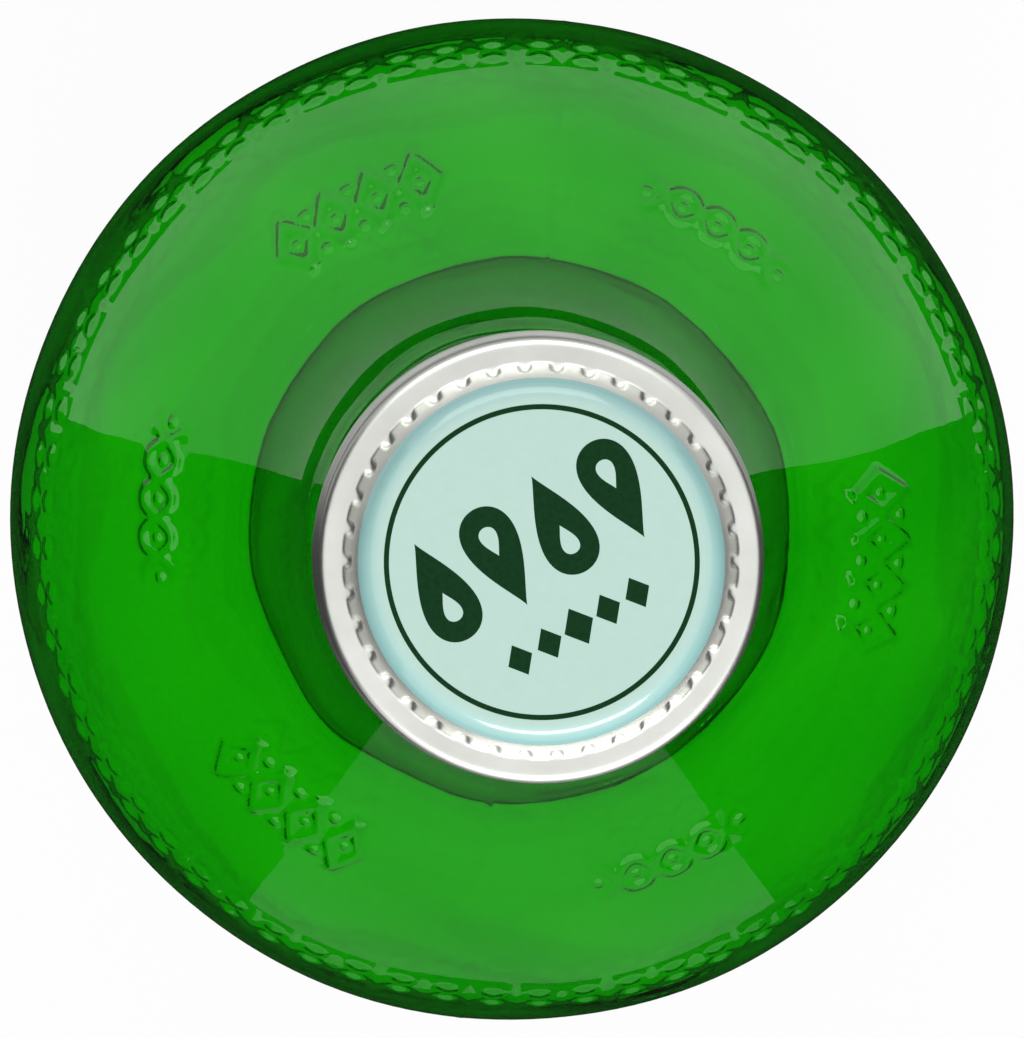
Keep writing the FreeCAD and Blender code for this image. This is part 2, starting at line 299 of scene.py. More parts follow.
def ornaments(angles, along):
    """Relief of the six ornaments: rows of standing lozenges, and plaited waves."""
    y = along - ornament_middle
    height = np.zeros_like(angles)
    for index, middle in enumerate(ornament_turns):
        x = ((angles - middle + math.pi) % (2 * math.pi) - math.pi) * ornament_radius
        if index % 2 == 0:
            for place in (-4.8, -1.6, 1.6, 4.8):
                outline = np.abs(lozenge(x - place, y, 1.25, ornament_half))
                height = np.maximum(height, ridge(outline, 0.72))
                height = np.maximum(height, ridge(np.hypot(x - place, y), 0.75))
            for place in (-3.2, 0, 3.2):
                for end in (-ornament_half + 0.4, ornament_half - 0.4):
                    height = np.maximum(height, ridge(np.hypot(x - place, y - end), 0.8))
        else:
            inside = ridge(x, 6.9)
            fade = np.clip(inside * 3, 0, 1)
            for side in (-1, 1):
                wave = side * plait_swing * np.cos(2 * math.pi * x / plait_length)
                steepness = plait_swing * 2 * math.pi / plait_length
                slope = np.hypot(1, steepness * np.sin(2 * math.pi * x / plait_length))
                height = np.maximum(height, ridge((y - wave) / slope, 0.8) * fade)
            for place in (-5.4, -2.7, 0, 2.7, 5.4):
                height = np.maximum(height, ridge(np.hypot(x - place, y), 0.8))
    return height


# %% Running border near the body
border_middle = 16.6
border_half = 3.0
border_count = 64
border_stands = 0.2
border_radius = body_radius - 2


def border(angles, along):
    """Relief of the border: standing lozenges with a pair of pearls between each two."""
    y = along - border_middle
    pitch = 2 * math.pi / border_count
    cell = np.floor(angles / pitch + 0.5)
    x = (angles - cell * pitch) * border_radius
    swing = 0.8 + 0.2 * np.sin(cell * 2.4)
    blade = ridge(np.clip(lozenge(x, y, 0.95, border_half * swing) + 0.5, 0, None), 0.9)
    bead_x = np.abs(x) - pitch * border_radius / 2
    beads = np.maximum(
        ridge(np.hypot(bead_x, y - 1.6), 1.15), ridge(np.hypot(bead_x, y + 1.6), 1.15)
    )
    return np.maximum(np.where(cell % 2 == 0, blade, blade * 0.75), beads)


print(f"ornaments at radius {ornament_radius:.1f}, {border_count} blades in the border")

# %% [markdown]
# ## Turning the glass
# The section runs from the middle of the pushed-up base outward, up to the rim, down through
# the mouth and back to the middle of the floor. Each ring is pushed along its own normal by
# what belongs there: the stippled ring it stands on, seams, relief, unevenness or the thread.

# %% Outside section
lip_round = lip_radius - panel_radius + 0.15
lip_foot = knurl_foot[1] - gauge - 0.26
bead_top = cap_foot - 1.25
locking_edge = locking_foot + locking_flat
locking_top = locking_edge + locking_slope
bead_middle = bead_top - bead_half
bead_arc = (bead_half ** 2 / bead_stands + bead_stands) / 2
bead_angle = math.degrees(math.asin(bead_half / bead_arc))
bearing_outer = body_radius - heel_radius
bearing_inner = bearing_outer - bearing_width
punt_sphere = (bearing_inner ** 2 / punt_height + punt_height) / 2
punt_centre = (0, punt_height - punt_sphere)
punt_half = math.degrees(math.asin(bearing_inner / punt_sphere))
shoulder_steps = np.unique(np.round(np.concatenate([
    np.arange(0, 13, 1.3), np.arange(13, 20.4, 0.34), np.arange(20.4, 32, 1.2),
    np.arange(32, 38.9, 0.34), np.arange(38.9, shoulder_length, 1.1), [shoulder_length],
]), 3))
outside = chain(
    arc(punt_centre, punt_sphere, 90, 90 - punt_half, 1.3),
    line((bearing_inner, 0), (bearing_outer, 0), 0.5),
    arc((bearing_outer, heel_radius), heel_radius, -90, 0, 0.7),
    line((body_radius, heel_radius), (body_radius, shoulder_foot), 5),
    [shoulder_point(along) for along in shoulder_steps],
    line((neck_radius, shoulder_top), (neck_radius, bead_middle - bead_half), 4),
    arc((neck_radius + bead_stands - bead_arc, bead_middle), bead_arc, -bead_angle, bead_angle, 0.4),
    line((neck_radius, bead_top), (tuck_radius, bead_top + 0.7), 0.5),
    line((tuck_radius, bead_top + 0.7), (tuck_radius, locking_foot - 0.3), 0.6),
    line((tuck_radius, locking_foot - 0.3), (locking_radius, locking_foot), 0.5),
    line((locking_radius, locking_foot), (locking_radius, locking_edge), 0.3),
    line((locking_radius, locking_edge), (root_radius, locking_top), 0.5),
    line((root_radius, locking_top), (root_radius, lip_foot - 1.3), 0.3),
    line((root_radius, lip_foot - 1.3), (lip_radius, lip_foot), 0.6),
    line((lip_radius, lip_foot), (lip_radius, rim - lip_round), 0.8),
    arc((lip_radius - lip_round, rim - lip_round), lip_round, 0, 90, 0.25),
    line((lip_radius - lip_round, rim), (bore_radius + bore_round, rim), 0.2),
    arc((bore_radius + bore_round, rim - bore_round), bore_round, 90, 180, 0.15),
    line((bore_radius, rim - bore_round), (bore_radius, bore_foot), 4),
)
print(f"outside: {len(outside)} rings")

# %% Inside section
dome = punt_sphere + floor_thickness
fillet_middle = body_radius - wall - floor_fillet
fillet_rise = math.sqrt((dome + floor_fillet) ** 2 - fillet_middle ** 2)
meeting = math.degrees(math.atan2(fillet_rise, fillet_middle))
fillet_centre = (fillet_middle, punt_centre[1] + fillet_rise)
neck_inside = neck_radius - wall
meniscus = 0.9
inside = chain(
    arc(punt_centre, dome, 90, meeting, 1.6),
    arc(fillet_centre, floor_fillet, meeting - 180, 0, 0.8),
    line((body_radius - wall, fillet_centre[1]), (body_radius - wall, shoulder_foot), 5),
    [shoulder_point(along, wall) for along in np.linspace(0, shoulder_length, 50)],
    line((neck_inside, shoulder_top), (neck_inside, level + meniscus), 3),
    line((neck_inside, level + meniscus), (neck_inside, bore_taper_foot), 4),
    line((neck_inside, bore_taper_foot), (bore_radius, bore_foot), 3),
)
print(f"inside: {len(inside)} rings, floor at {inside[0][1]:.2f}")

# %% What pushes the surface
thread_pitch = 3.0
thread_stands = 1.05
thread_half = 0.95
seam_stands = 0.035
seam_half = 0.25
thread_start = locking_foot + 2.6
thread_end = lip_foot - 1.9


def near_seam(angles, radius):
    """Distance in millimetres from the nearest mould seam."""
    turn = np.min([np.abs((angles - seam + math.pi) % (2 * math.pi) - math.pi)
                   for seam in seam_turns], axis=0)
    return turn * radius


def thread_distance(angles, height):
    """Distance up or down from the middle of the thread's ridge."""
    turns = (height - thread_start) / thread_pitch - angles / (2 * math.pi)
    return np.abs((turns + 0.5) % 1 - 0.5) * thread_pitch


def outside_push(angles, radius, height, along):
    """How far each point of an outside ring moves out of the glass, in millimetres."""
    push = np.zeros_like(angles)
    if height > rim - 17 and radius < lip_radius + 0.1:
        return push
    if thread_start < height < thread_end:
        fade = min(1, (height - thread_start) / 1.2, (thread_end - height) / 1.2)
        return thread_stands * fade * ridge(thread_distance(angles, height), thread_half)
    if height > bead_middle - 2:
        return push
    if height < 1e-4 and radius > bearing_inner - 1e-3:
        across = (radius - bearing_inner) / bearing_width
        dashes = np.abs(np.sin(angles * 87 + 2.2 * math.sin(radius * 2.1)))
        tip = np.clip(1.25 * np.sqrt(dashes) * math.sin(math.pi * across) ** 0.5, 0, 1)
        return 0.22 * (tip - 1)
    if height < punt_height and radius < bearing_inner:
        rings = 0.16 * math.exp(-((radius - 20.5) / 0.7) ** 2)
        rings += 0.12 * math.exp(-((radius - 12) / 0.6) ** 2)
        return push - rings + 0.05 * unevenness(angles, radius, 11, 5) * radius / 30
    push += 0.05 * min(1, height / 5) * unevenness(angles, height, 3, 9)
    stretch = 0.5 + 0.5 * math.sin(height * 0.21)
    push += seam_stands * stretch * np.exp(-(near_seam(angles, radius) / seam_half) ** 2)
    if along is not None and abs(along - border_middle) < 3.9:
        push += border_stands * border(angles, along)
    if along is not None and abs(along - ornament_middle) < 3.5:
        push += ornament_stands * ornaments(angles, along)
    return push


def inside_push(angles, radius, height):
    """How far each point of an inside ring moves into the glass: the wall is never even."""
    if height > rim - 30:
        return np.zeros_like(angles)
    calm = min(1, radius / 30) * min(1, (rim - 30 - height) / 15)
    push = 0.15 * calm * unevenness(angles, height, 7, 12)
    if height < 18 and radius > 25:
        chill = min(1, (18 - height) / 6) * min(1, (radius - 25) / 4)
        back = 0.52 + 0.48 * np.cos(angles - math.radians(140))
        push += 0.3 * chill * back * unevenness(angles * 3, height * 3, 23, 8)
    return push


# %% Rings of the glass
relief_bands = ((border_middle, 3.8), (ornament_middle, 3.4))


def glass_rings():
    """Rings from the base's middle up the outside and back down the inside."""
    rings = []
    normals = outward(outside)
    heights = [shoulder_point(along)[1] for along in shoulder_steps]
    for (radius, height), normal in zip(outside, normals):
        if radius < 1e-6:
            rings.append((np.zeros(1), np.zeros(1), np.array([height])))
            continue
        along = None
        if shoulder_foot - 1e-6 <= height <= shoulder_top:
            along = float(np.interp(height, heights, shoulder_steps))
        in_relief = along is not None and any(
            abs(along - middle) <= half for middle, half in relief_bands
        )
        on_ring = height < 1e-4 and radius > bearing_inner - 1e-3
        angles = fine if in_relief or on_ring else coarse
        push = outside_push(angles, radius, height, along)
        rings.append((angles, radius + push * normal[0], height + push * normal[1]))
    return rings


def inside_rings(extra=0.0, highest=None):
    """Rings of the inside from the floor up, moved into the glass by extra."""
    rings = []
    for (radius, height), normal in zip(inside, outward(inside)):
        if highest is not None and height > highest + 1e-6:
            break
        if radius < 1e-6:
            rings.append((np.zeros(1), np.zeros(1), np.array([height - extra])))
            continue
        push = inside_push(coarse, radius, height) + extra
        rings.append((coarse, radius + push * normal[0], height + push * normal[1]))
    return rings


# %% Bottle
bottle, _ = turned_mesh("bottle", glass_rings() + inside_rings()[-2::-1])
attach(bottle, "root")
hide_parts("bottle_glass")
print("bottle:", sum(len(face.vertices) - 2 for face in bottle.data.polygons), "triangles")

# %% [markdown]
# ## The water
# Light bends where glass meets water, and no air lies between them. The renderer sees one
# surface at a time, so the water's mesh reaches a few hundredths of a millimetre into the
# wall: then a ray leaves water and glass in the right order and no air gap shows. At its top
# the water climbs the wall in a meniscus.

# %% Water
into_wall = 0.06
surface_radii = np.array([neck_inside - step for step in (0.5, 1.1, 1.8, 2.8, 4.5, 7.5)])
water_rings = inside_rings(into_wall, level + meniscus)
for radius in surface_radii:
    climb = meniscus * math.exp(-(neck_inside - radius) / 1.1)
    water_rings.append((coarse, radius + 0 * coarse, level + climb + 0 * coarse))
water_rings.append((np.zeros(1), np.zeros(1), np.array([level])))
water, _ = turned_mesh("water_fill", water_rings)
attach(water, "root")
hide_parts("water")
print("water:", len(water.data.vertices), "points, up to", round(level, 2))

# %% [markdown]
# ## The cap
# The cap is drawn from aluminium sheet a quarter of a millimetre thick. A roller presses the
# skirt into the threads of the glass, another tucks the band under the locking ring, and the
# band hangs on small bridges between slits. The edge of the top is knurled so that fingers
# grip it. The sheet is turned with both its sides, so it stays a closed thin shell.

# %% Section of the sheet
step_round = 0.6
step_middle = skirt_radius - step_round
skirt_head = knurl_foot[1] - step_round
slit_foot = locking_top + 0.3
slit_top = slit_foot + 0.35
flare_top = slit_foot - 0.35
flare_foot = flare_top - 0.5
band_roll = 1.1
roll_centre = (band_radius - band_roll, cap_foot + band_roll)
lean_degrees = math.degrees(knurl_lean)
sheet_wall = gauge + 0.25


def into_sheet(place, depth):
    return (place[0] - depth * math.cos(knurl_lean), place[1] - depth * math.sin(knurl_lean))


sheet_inside = chain(
    line((0, cap_top - gauge), (panel_radius, cap_top - gauge), 2.5),
    arc((panel_radius, cap_top - corner_round), corner_round - gauge, 90, lean_degrees, 0.4),
    line(into_sheet(knurl_head, sheet_wall), into_sheet(knurl_foot, sheet_wall), 0.7),
    line((step_middle - 0.6, knurl_foot[1] - gauge), (step_middle, knurl_foot[1] - gauge), 0.6),
    arc((step_middle, skirt_head), step_round - gauge, 90, 0, 0.3),
    line((skirt_radius - gauge, skirt_head), (skirt_radius - gauge, slit_top), 0.3),
    [(skirt_radius - gauge, slit_foot)],
    line((skirt_radius - gauge, flare_top), (band_radius - gauge, flare_foot), 0.3),
    line((band_radius - gauge, flare_foot), (band_radius - gauge, roll_centre[1]), 0.8),
    arc(roll_centre, band_roll - gauge, 0, -90, 0.3),
)
sheet_outside = chain(
    arc(roll_centre, band_roll, -90, 0, 0.2),
    line((band_radius, roll_centre[1]), (band_radius, flare_foot), 0.6),
    line((band_radius, flare_foot), (skirt_radius, flare_top), 0.2),
    [(skirt_radius, slit_foot)],
    line((skirt_radius, slit_top), (skirt_radius, skirt_head), 0.25),
    arc((step_middle, skirt_head), step_round, 0, 90, 0.15),
    line((step_middle, knurl_foot[1]), knurl_foot, 0.2),
    line(knurl_foot, knurl_head, 0.14),
    arc((panel_radius, cap_top - corner_round), corner_round, lean_degrees, 90, 0.12),
    line((panel_radius, cap_top), (0, cap_top), 1.2),
)
print(f"sheet: {len(sheet_inside)} rings inside, {len(sheet_outside)} outside")

# %% Rolled thread and knurls
knurl_pitch = 2 * math.pi / knurl_count
knurl_depth = 0.4
groove_radius = 0.85
groove_edge = 0.67
press_depth = 0.5
press_half = 1.15
plain_round = round_angles(knurl_count * 8)
knurled_round = round_angles(knurl_count * 20)


def rolled_thread(angles, height):
    """How far the roller pressed the skirt inward, between the ridges of the glass thread."""
    fade = np.clip(min((height - slit_top - 0.7) / 0.9, (skirt_head - 0.2 - height) / 0.9), 0, 1)
    between = thread_pitch / 2 - thread_distance(angles, height)
    return press_depth * fade * ridge(between, press_half)


def knurls(angles, place):
    """Depth of the round grooves between the knurls, at this place of the wall."""
    down = (knurl_head[1] - place[1]) / math.cos(knurl_lean)
    fade = np.clip(min((down - 1.0) / 1.0, (knurl_length - 0.1 - down) / 0.12), 0, 1)
    x = ((angles + knurl_pitch / 2) % knurl_pitch - knurl_pitch / 2) * place[0]
    round_wall = np.sqrt(np.clip(groove_radius ** 2 - x ** 2, 0, None))
    groove = np.clip(round_wall - groove_edge, 0, None) / (groove_radius - groove_edge)
    return knurl_depth * fade * groove


cap_rings = []
lacquered = []
for (radius, height), normal in zip(sheet_inside, outward(sheet_inside)):
    if radius < 1e-6:
        cap_rings.append((np.zeros(1), np.zeros(1), np.array([height])))
    else:
        push = np.zeros_like(plain_round)
        if abs(radius - skirt_radius + gauge) < 1e-6 and height > slit_top:
            push = rolled_thread(plain_round, height)
        cap_rings.append((plain_round, radius + push * normal[0], height + push * normal[1]))
for (radius, height), normal in zip(sheet_outside, outward(sheet_outside)):
    if radius < 1e-6:
        cap_rings.append((np.zeros(1), np.zeros(1), np.array([height])))
        continue
    in_knurls = knurl_foot[1] + 0.05 < height < knurl_head[1] + 0.1 and radius < knurl_foot[0]
    angles = knurled_round if in_knurls else plain_round
    push = np.zeros_like(angles)
    if in_knurls:
        push = -knurls(angles, (radius, height))
    if abs(radius - skirt_radius) < 1e-6 and height > slit_top:
        push = -rolled_thread(angles, height)
    if height >= knurl_head[1] - 0.02 and radius <= knurl_head[0] + 0.01:
        lacquered.append(len(cap_rings))
    cap_rings.append((angles, radius + push * normal[0], height + push * normal[1]))
cap, cap_rows = turned_mesh("cap", cap_rings)
print("cap:", sum(len(face.vertices) - 2 for face in cap.data.polygons), "triangles")

# %% [markdown]
# The slits are real openings. Both sides of the sheet have a ring at the lower and the upper
# edge of the slits, so a slit is made by taking out the faces between those rings and closing
# the cut edge from the inner side to the outer side.

# %% Slits
bridges = 8
bridge_steps = 8


def ring_at(radius, height):
    """Number of the cap's ring that has this place."""
    return next(
        index for index, (angles, radii, heights) in enumerate(cap_rings)
        if len(angles) > 1 and abs(radii[0] - radius) < 1e-4 and abs(heights[0] - height) < 1e-4
    )


inner_top = ring_at(skirt_radius - gauge, slit_top)
inner_foot = ring_at(skirt_radius - gauge, slit_foot)
outer_foot = ring_at(skirt_radius, slit_foot)
outer_top = ring_at(skirt_radius, slit_top)
first_points = np.cumsum([0] + [len(ring[0]) for ring in cap_rings])
steps_round = len(plain_round)
per_slit = steps_round // bridges
cut_steps = [
    slit * per_slit + step for slit in range(bridges) for step in range(bridge_steps, per_slit)
]
net = bmesh.new()
net.from_mesh(cap.data)
net.verts.ensure_lookup_table()
net.faces.ensure_lookup_table()
rows_inner = np.flatnonzero(cap_rows == inner_top)
rows_outer = np.flatnonzero(cap_rows == outer_foot)
doomed = [net.faces[rows[step]] for rows in (rows_inner, rows_outer) for step in cut_steps]


def point_of(ring, step):
    return net.verts[int(first_points[ring] + step % steps_round)]


bmesh.ops.delete(net, geom=doomed, context="FACES")
for slit in range(bridges):
    first = slit * per_slit + bridge_steps
    last = (slit + 1) * per_slit
    for step in range(first, last):
        net.faces.new([point_of(*place) for place in (
            (outer_foot, step), (outer_foot, step + 1), (inner_foot, step + 1), (inner_foot, step))])
        net.faces.new([point_of(*place) for place in (
            (inner_top, step), (inner_top, step + 1), (outer_top, step + 1), (outer_top, step))])
    net.faces.new([point_of(*place) for place in (
        (inner_foot, first), (inner_top, first), (outer_top, first), (outer_foot, first))])
    net.faces.new([point_of(*place) for place in (
        (outer_foot, last), (outer_top, last), (inner_top, last), (inner_foot, last))])
print("open edges after cutting:", sum(not edge.is_manifold for edge in net.edges))
height_of_lacquer = knurl_head[1] * MM
for face in net.faces:
    middle = face.calc_center_median()
    face.smooth = True
    in_top = middle.z > height_of_lacquer and middle.xy.length < knurl_head[0] * MM
    face.material_index = int(in_top and face.normal.z > -0.2 and middle.z > 0)
net.to_mesh(cap.data)
net.free()
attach(cap, "root")
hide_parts("screw_cap")

# %% [markdown]
# ## The print on the cap
# The lacquered top carries a print in dark green: a thin ring line and, inside it, a generic
# motif of water drops and small lozenges. Printing ink lies on the lacquer as a film, so each
# mark is a very thin closed piece and has crisp edges at any distance.

# %% Film of ink
film = 0.012


def ink_film(outline, hole=None):
    """Points and faces of a thin closed film inside an outline, with an optional hole."""
    outline = np.asarray(outline)
    count = len(outline)
    loops = [outline] if hole is None else [outline, np.asarray(hole)]
    points = []
    for height in (0.0, film):
        for loop in loops:
            points += [(x, y, cap_top + height) for x, y in loop]
    layer = count * len(loops)
    faces = []
    for here in range(count):
        there = (here + 1) % count
        faces.append((here, there, layer + there, layer + here))
        if hole is not None:
            inner_here, inner_there = count + here, count + there
            faces.append((inner_there, inner_here, layer + inner_here, layer + inner_there))
            faces.append((layer + here, layer + there, layer + inner_there, layer + inner_here))
            faces.append((there, here, inner_here, inner_there))
    if hole is None:
        faces.append(tuple(range(layer, 2 * layer)))
        faces.append(tuple(reversed(range(layer))))
    return points, faces


def place_marks(name, marks):
    """One object from many films."""
    points = []
    faces = []
    for mark_points, mark_faces in marks:
        start = len(points)
        points += mark_points
        faces += [tuple(start + corner for corner in face) for face in mark_faces]
    mesh = bpy.data.meshes.new(name)
    mesh.from_pydata((np.array(points) * MM).tolist(), [], faces)
    mesh.update()
    piece = bpy.data.objects.new(name, mesh)
    bpy.context.scene.collection.objects.link(piece)
    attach(piece, "root")
    return piece


# %% Marks
row_turn = math.radians(30)


def on_panel(points, middle, size=1.0):
    """Marks turned to the direction of the rows and moved to their place."""
    turn = np.array([[math.cos(row_turn), math.sin(row_turn)],
                     [-math.sin(row_turn), math.cos(row_turn)]])
    return np.asarray(points) * size @ turn + np.asarray(middle) @ turn


def drop_shape(wide, high):
    """Outline of a hanging water drop, anticlockwise."""
    turn = round_angles(64)
    lean = np.sin(turn / 2)
    x = wide * np.sin(turn) * lean ** 1.4
    y = high * np.cos(turn)
    return np.column_stack([x, y])[::-1]


ring_line = 9.66
ring_half = 0.16
drop_row = 1.55
lozenge_row = -4.6
around = round_angles(256)
circle = np.column_stack([np.cos(around), np.sin(around)])
marks = [ink_film(circle * (ring_line + ring_half), circle * (ring_line - ring_half))]
for index, place in enumerate((-6.3, -2.1, 2.1, 6.3)):
    side = 1 if index % 2 == 0 else -1
    outline = drop_shape(2.45, 3.4) * (1, side)
    eye = drop_shape(0.8, 1.0) * (1, side) - (0, 1.1 * side)
    if side < 0:
        outline, eye = outline[::-1], eye[::-1]
    middle = (place, drop_row)
    marks.append(ink_film(on_panel(outline, middle), on_panel(eye, middle)))
for place in (-4.2, -2.1, 0, 2.1, 4.2):
    size = 1.0 if place else 1.2
    diamond = np.array([(0.85, 0), (0, 1.05), (-0.85, 0), (0, -1.05)])
    marks.append(ink_film(on_panel(diamond * size, (place, lozenge_row))))
cap_print = place_marks("cap_print", marks)
print("print:", len(marks), "marks")

# %% [markdown]
# ## Materials
# A material starts from what the real one is. One function turns a hex colour into the linear
# numbers that the renderer needs, and one adds a node with its settings and links.

# %% Node helpers
def paint(hex_colour):
    """Linear colour from an sRGB hex value."""
    parts = [int(hex_colour[place:place + 2], 16) / 255 for place in (1, 3, 5)]
    linear = [part / 12.92 if part <= 0.04045 else ((part + 0.055) / 1.055) ** 2.4
              for part in parts]
    return (*linear, 1)


def add(tree, kind, inputs=None, **settings):
    """Adds a node, sets its properties, and fills or links its inputs."""
    node = tree.nodes.new(kind)
    for key, value in settings.items():
        setattr(node, key, value)
    for key, value in (inputs or {}).items():
        if isinstance(value, bpy.types.NodeSocket):
            tree.links.new(value, node.inputs[key])
        else:
            node.inputs[key].default_value = value
    return node


def new_material(name):
    material = bpy.data.materials.new(name)
    material.use_nodes = True
    material.node_tree.nodes.clear()
    return material, material.node_tree


def ramp_between(tree, factor, stops):
    """A colour ramp from (position, colour) pairs."""
    ramp = add(tree, "ShaderNodeValToRGB", {"Fac": factor})
    elements = ramp.color_ramp.elements
    while len(elements) < len(stops):
        elements.new(0.5)
    for element, (position, colour) in zip(elements, stops):
        element.position = position
        element.color = colour
    return ramp.outputs["Color"]


# %% [markdown]
# ### Emerald bottle glass
# Chromium turns soda-lime glass emerald. Its colour lies in the depth of the glass and not on
# its surface: thin edges look pale yellow green, and long ways through the wall go dark. That
# is a volume that absorbs. The surface is fire-polished, with a faint orange peel from the
# mould a few millimetres wide.

# %% Emerald bottle glass
emerald_glass, tree = new_material("emerald_soda_lime_glass")
place = add(tree, "ShaderNodeTexCoord").outputs["Object"]
peel = add(tree, "ShaderNodeTexNoise", {"Vector": place, "Scale": 260.0, "Detail": 2.0})
peel_bump = add(tree, "ShaderNodeBump", {
    "Strength": 0.35, "Distance": 0.00003, "Height": peel.outputs["Fac"]})
glass_surface = add(tree, "ShaderNodeBsdfPrincipled", {
    "Base Color": (1, 1, 1, 1), "Roughness": 0.0, "IOR": 1.52, "Transmission Weight": 1.0,
    "Normal": peel_bump.outputs["Normal"]})
glass_depth = add(tree, "ShaderNodeVolumeAbsorption", {
    "Color": (0.30, 0.868, 0.03, 1), "Density": 890.0})
rays = add(tree, "ShaderNodeLightPath")
lamp_light = add(tree, "ShaderNodeBsdfTransparent", {"Color": paint("#7CC878")})
glass_mix = add(tree, "ShaderNodeMixShader", {
    0: rays.outputs["Is Shadow Ray"], 1: glass_surface.outputs[0], 2: lamp_light.outputs[0]})
add(tree, "ShaderNodeOutputMaterial", {
    "Surface": glass_mix.outputs[0], "Volume": glass_depth.outputs[0]})
bottle.data.materials.append(emerald_glass)
print("glass:", emerald_glass.name)

# %% [markdown]
# ### Water
# Water is clear, with an IOR of 1.333. Its surface in the neck is calm, with ripples too faint
# to see as waves, about a centimetre long, which only break up the mirror.

# %% Water finish
clear_water, tree = new_material("clear_water")
place = add(tree, "ShaderNodeTexCoord").outputs["Object"]
ripple = add(tree, "ShaderNodeTexNoise", {"Vector": place, "Scale": 90.0, "Detail": 1.0})
ripple_bump = add(tree, "ShaderNodeBump", {
    "Strength": 0.1, "Distance": 0.00003, "Height": ripple.outputs["Fac"]})
water_surface = add(tree, "ShaderNodeBsdfPrincipled", {
    "Base Color": (1, 1, 1, 1), "Roughness": 0.0, "IOR": 1.333, "Transmission Weight": 1.0,
    "Normal": ripple_bump.outputs["Normal"]})
rays = add(tree, "ShaderNodeLightPath")
lamp_light = add(tree, "ShaderNodeBsdfTransparent", {"Color": (1, 1, 1, 1)})
water_mix = add(tree, "ShaderNodeMixShader", {
    0: rays.outputs["Is Shadow Ray"], 1: water_surface.outputs[0], 2: lamp_light.outputs[0]})
add(tree, "ShaderNodeOutputMaterial", {"Surface": water_mix.outputs[0]})
water.data.materials.append(clear_water)
print("water:", clear_water.name)

# %% [markdown]
# ### Satin drawn aluminium
# The sheet leaves the mill with a fine grain and the drawing tool stretches it, which gives a
# satin surface with soft highlights. The grain is about 0.05 mm wide on the real sheet and is
# drawn here four times as coarse, so that it shows. The knurling roller leaves faint marks,
# which are not drawn here.

# %% Satin drawn aluminium
satin_aluminium, tree = new_material("satin_drawn_aluminium")
place = add(tree, "ShaderNodeTexCoord").outputs["Object"]
grain = add(tree, "ShaderNodeTexNoise", {
    "Vector": place, "Scale": 5000.0, "Detail": 3.0, "Roughness": 0.6})
cloud = add(tree, "ShaderNodeTexNoise", {"Vector": place, "Scale": 240.0, "Detail": 3.0})
metal_colour = ramp_between(tree, cloud.outputs["Fac"], (
    (0.3, paint("#E0E2DB")), (0.7, paint("#EEEFEA"))))
metal_roughness = add(tree, "ShaderNodeMapRange", {
    "Value": grain.outputs["Fac"], "To Min": 0.30, "To Max": 0.44})
metal_bump = add(tree, "ShaderNodeBump", {
    "Strength": 0.5, "Distance": 0.00001, "Height": grain.outputs["Fac"]})
metal = add(tree, "ShaderNodeBsdfPrincipled", {
    "Base Color": metal_colour, "Metallic": 1.0, "Roughness": metal_roughness.outputs[0],
    "Normal": metal_bump.outputs["Normal"]})
add(tree, "ShaderNodeOutputMaterial", {"Surface": metal.outputs[0]})
print("metal:", satin_aluminium.name)

# %% [markdown]
# ### Mint lacquer
# The top is roller-coated with a pale mint lacquer and stoved, which gives an even, half-gloss
# film. Where the sheet bends over the edge, the colour is painted a deeper tone: painted shade of the
# steep bend.

# %% Mint lacquer
mint_lacquer, tree = new_material("stoved_mint_lacquer")
place = add(tree, "ShaderNodeTexCoord").outputs["Object"]
flat = add(tree, "ShaderNodeVectorMath", {0: place, 1: (1, 1, 0)}, operation="MULTIPLY")
from_axis = add(tree, "ShaderNodeVectorMath", {0: flat.outputs[0]}, operation="LENGTH")
# Painted shade: the lacquer colour deepens from 10.1 mm out to 11.2 mm, where the edge bends down.
edge = add(tree, "ShaderNodeMapRange", {
    "Value": from_axis.outputs["Value"], "From Min": 10.1 * MM, "From Max": 11.2 * MM})
lacquer_tone_with_painted_edge_shade = ramp_between(tree, edge.outputs[0], (
    (0.0, paint("#BAD9CE")), (0.45, paint("#AFD9D2")), (1.0, paint("#9CD0CD"))))
speck = add(tree, "ShaderNodeTexNoise", {"Vector": place, "Scale": 1400.0, "Detail": 2.0})
speck_amount = add(tree, "ShaderNodeMapRange", {
    "Value": speck.outputs["Fac"], "To Min": 0.97, "To Max": 1.03})
lacquer_colour = add(tree, "ShaderNodeVectorMath", {
    0: lacquer_tone_with_painted_edge_shade, "Scale": speck_amount.outputs[0]}, operation="SCALE")
lacquer_bump = add(tree, "ShaderNodeBump", {
    "Strength": 0.2, "Distance": 0.00001, "Height": speck.outputs["Fac"]})
lacquer = add(tree, "ShaderNodeBsdfPrincipled", {
    "Base Color": lacquer_colour.outputs[0], "Roughness": 0.4, "Coat Weight": 1.0,
    "Coat Roughness": 0.1, "Normal": lacquer_bump.outputs["Normal"]})
add(tree, "ShaderNodeOutputMaterial", {"Surface": lacquer.outputs[0]})
cap.data.materials.append(satin_aluminium)
cap.data.materials.append(mint_lacquer)
print("lacquer:", mint_lacquer.name)

# %% [markdown]
# ### Printing ink
# The ink is an offset varnish ink, dark bluish green and less glossy than the lacquer. The
# blanket leaves it very slightly mottled.

